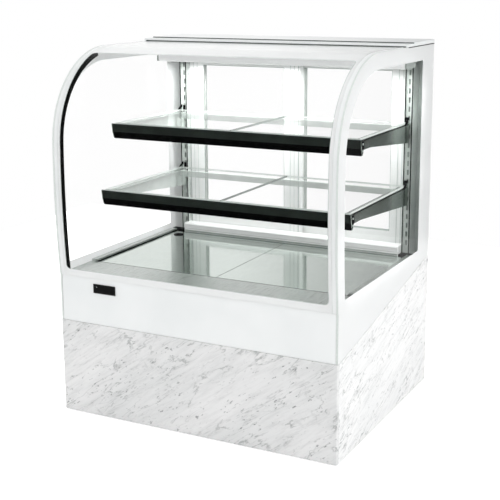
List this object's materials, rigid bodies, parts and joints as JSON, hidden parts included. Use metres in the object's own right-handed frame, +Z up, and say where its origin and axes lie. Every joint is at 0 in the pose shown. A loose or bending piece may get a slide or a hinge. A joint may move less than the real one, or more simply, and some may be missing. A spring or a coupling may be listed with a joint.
{
  "type": "refrigerated glass display showcase",
  "caption": "Upright chilled display case with a curved front glass, two glass shelves, a steel deck, sliding rear doors and a white stone plinth that hides the cooling unit.",
  "frame": {"origin": "on the floor, under the middle of the case's box", "axes": "+Z up, -Y towards the customer at the front, +X to the right of someone facing the front"},
  "size_m": [0.9, 0.743, 1.1],
  "materials": {
    "white_stone": "polished white marble with grey veins",
    "white_paint": "smooth white powder coat",
    "clear_glass": "clear tempered glass",
    "brushed_steel": "brushed stainless sheet",
    "polished_steel": "bright polished stainless sheet",
    "white_aluminium": "pale anodised extrusion",
    "fin_aluminium": "mill finish",
    "black_anodised": "black anodised extrusion",
    "black_rubber": "matt black seal",
    "black_plastic": "glossy black moulding",
    "white_plastic": "white moulding",
    "opal_plastic": "opal diffuser",
    "black_enamel": "black enamel",
    "copper": "drawn copper"
  },
  "bodies": {
    "cabinet": {"base_frame": "black_enamel", "bottom_track": "white_aluminium", "compressor": "black_enamel", "condenser_coil": "copper", "condenser_shroud": "black_enamel", "control_box": "white_plastic", "corner_seal_left": "black_rubber", "corner_seal_right": "black_rubber", "corner_trim_left": "white_paint", "corner_trim_right": "white_paint", "evaporator_coil": "fin_aluminium", "evaporator_shroud": "black_enamel", "foot_front_left": "black_plastic", "foot_front_right": "black_plastic", "foot_rear_left": "black_plastic", "foot_rear_right": "black_plastic", "front_fascia": "white_paint", "front_glass": "clear_glass", "front_ledge": "brushed_steel", "insulated_tank": "white_plastic", "lamp_diffuser": "opal_plastic", "lamp_housing": "white_paint", "lower_bracket_left": "brushed_steel", "lower_bracket_right": "brushed_steel", "lower_front_rail": "black_anodised", "lower_glass_left": "clear_glass", "lower_glass_right": "clear_glass", "lower_rear_bar": "brushed_steel", "plinth_front_slab": "white_stone", "plinth_left_slab": "white_stone", "plinth_right_slab": "white_stone", "rear_grille": "brushed_steel", "rear_post_left": "polished_steel", "rear_post_right": "polished_steel", "side_glass_left": "clear_glass", "side_glass_right": "clear_glass", "suction_pipe": "copper", "temperature_controller": "black_plastic", "top_cover": "white_paint", "top_strip": "white_paint", "top_track": "white_aluminium", "upper_bracket_left": "brushed_steel", "upper_bracket_right": "brushed_steel", "upper_front_rail": "black_anodised", "upper_glass_left": "clear_glass", "upper_glass_right": "clear_glass", "upper_rear_bar": "brushed_steel"},
    "door_left": {"door_left_frame": "white_aluminium", "door_left_glass": "clear_glass"},
    "door_right": {"door_right_frame": "white_aluminium", "door_right_glass": "clear_glass"},
    "deck_left": {"deck_left": "polished_steel"},
    "deck_right": {"deck_right": "polished_steel"},
    "condenser_fan": {"condenser_fan": "fin_aluminium"},
    "evaporator_fan": {"evaporator_fan": "fin_aluminium"},
    "light_switch": {"light_switch": "black_plastic"},
    "door_left_roller_a": {"door_left_roller_a": "white_plastic"},
    "door_left_roller_b": {"door_left_roller_b": "white_plastic"},
    "door_right_roller_a": {"door_right_roller_a": "white_plastic"},
    "door_right_roller_b": {"door_right_roller_b": "white_plastic"}
  },
  "joints": [
    {"name": "door_left_slide", "type": "slide", "parent": "cabinet", "child": "door_left", "axis": [1, 0, 0], "range_m": [0, 0.357]},
    {"name": "door_right_slide", "type": "slide", "parent": "cabinet", "child": "door_right", "axis": [-1, 0, 0], "range_m": [0, 0.357]},
    {"name": "door_left_roller_a_spin", "type": "hinge", "parent": "door_left", "child": "door_left_roller_a", "pos_m": [-0.3164, 0.3155, 0.4449], "axis": [0, 1, 0], "range_deg": [-2400, 2400]},
    {"name": "door_left_roller_b_spin", "type": "hinge", "parent": "door_left", "child": "door_left_roller_b", "pos_m": [-0.0415, 0.3155, 0.4449], "axis": [0, 1, 0], "range_deg": [-2400, 2400]},
    {"name": "door_right_roller_a_spin", "type": "hinge", "parent": "door_right", "child": "door_right_roller_a", "pos_m": [0.0415, 0.3465, 0.4449], "axis": [0, 1, 0], "range_deg": [-2400, 2400]},
    {"name": "door_right_roller_b_spin", "type": "hinge", "parent": "door_right", "child": "door_right_roller_b", "pos_m": [0.3164, 0.3465, 0.4449], "axis": [0, 1, 0], "range_deg": [-2400, 2400]},
    {"name": "condenser_fan_spin", "type": "hinge", "parent": "cabinet", "child": "condenser_fan", "pos_m": [-0.02, 0.2782, 0.1333], "axis": [0, 1, 0], "continuous": true},
    {"name": "evaporator_fan_spin", "type": "hinge", "parent": "cabinet", "child": "evaporator_fan", "pos_m": [0, 0.0389, 0.3636], "axis": [0, 1, 0], "continuous": true},
    {"name": "light_switch_rock", "type": "hinge", "parent": "cabinet", "child": "light_switch", "pos_m": [-0.3177, 0.3572, 0.195], "axis": [1, 0, 0], "range_deg": [-16, 0]},
    {"name": "deck_left_lift", "type": "slide", "parent": "cabinet", "child": "deck_left", "axis": [0, 0, 1], "range_m": [0, 0.12]},
    {"name": "deck_right_lift", "type": "slide", "parent": "cabinet", "child": "deck_right", "axis": [0, 0, 1], "range_m": [0, 0.12]}
  ],
  "couplings": [
    {"joint": "door_left_roller_a_spin", "follows": "door_left_slide", "rad_per_m": 111.11},
    {"joint": "door_left_roller_b_spin", "follows": "door_left_slide", "rad_per_m": 111.11},
    {"joint": "door_right_roller_a_spin", "follows": "door_right_slide", "rad_per_m": -111.11},
    {"joint": "door_right_roller_b_spin", "follows": "door_right_slide", "rad_per_m": -111.11}
  ]
}
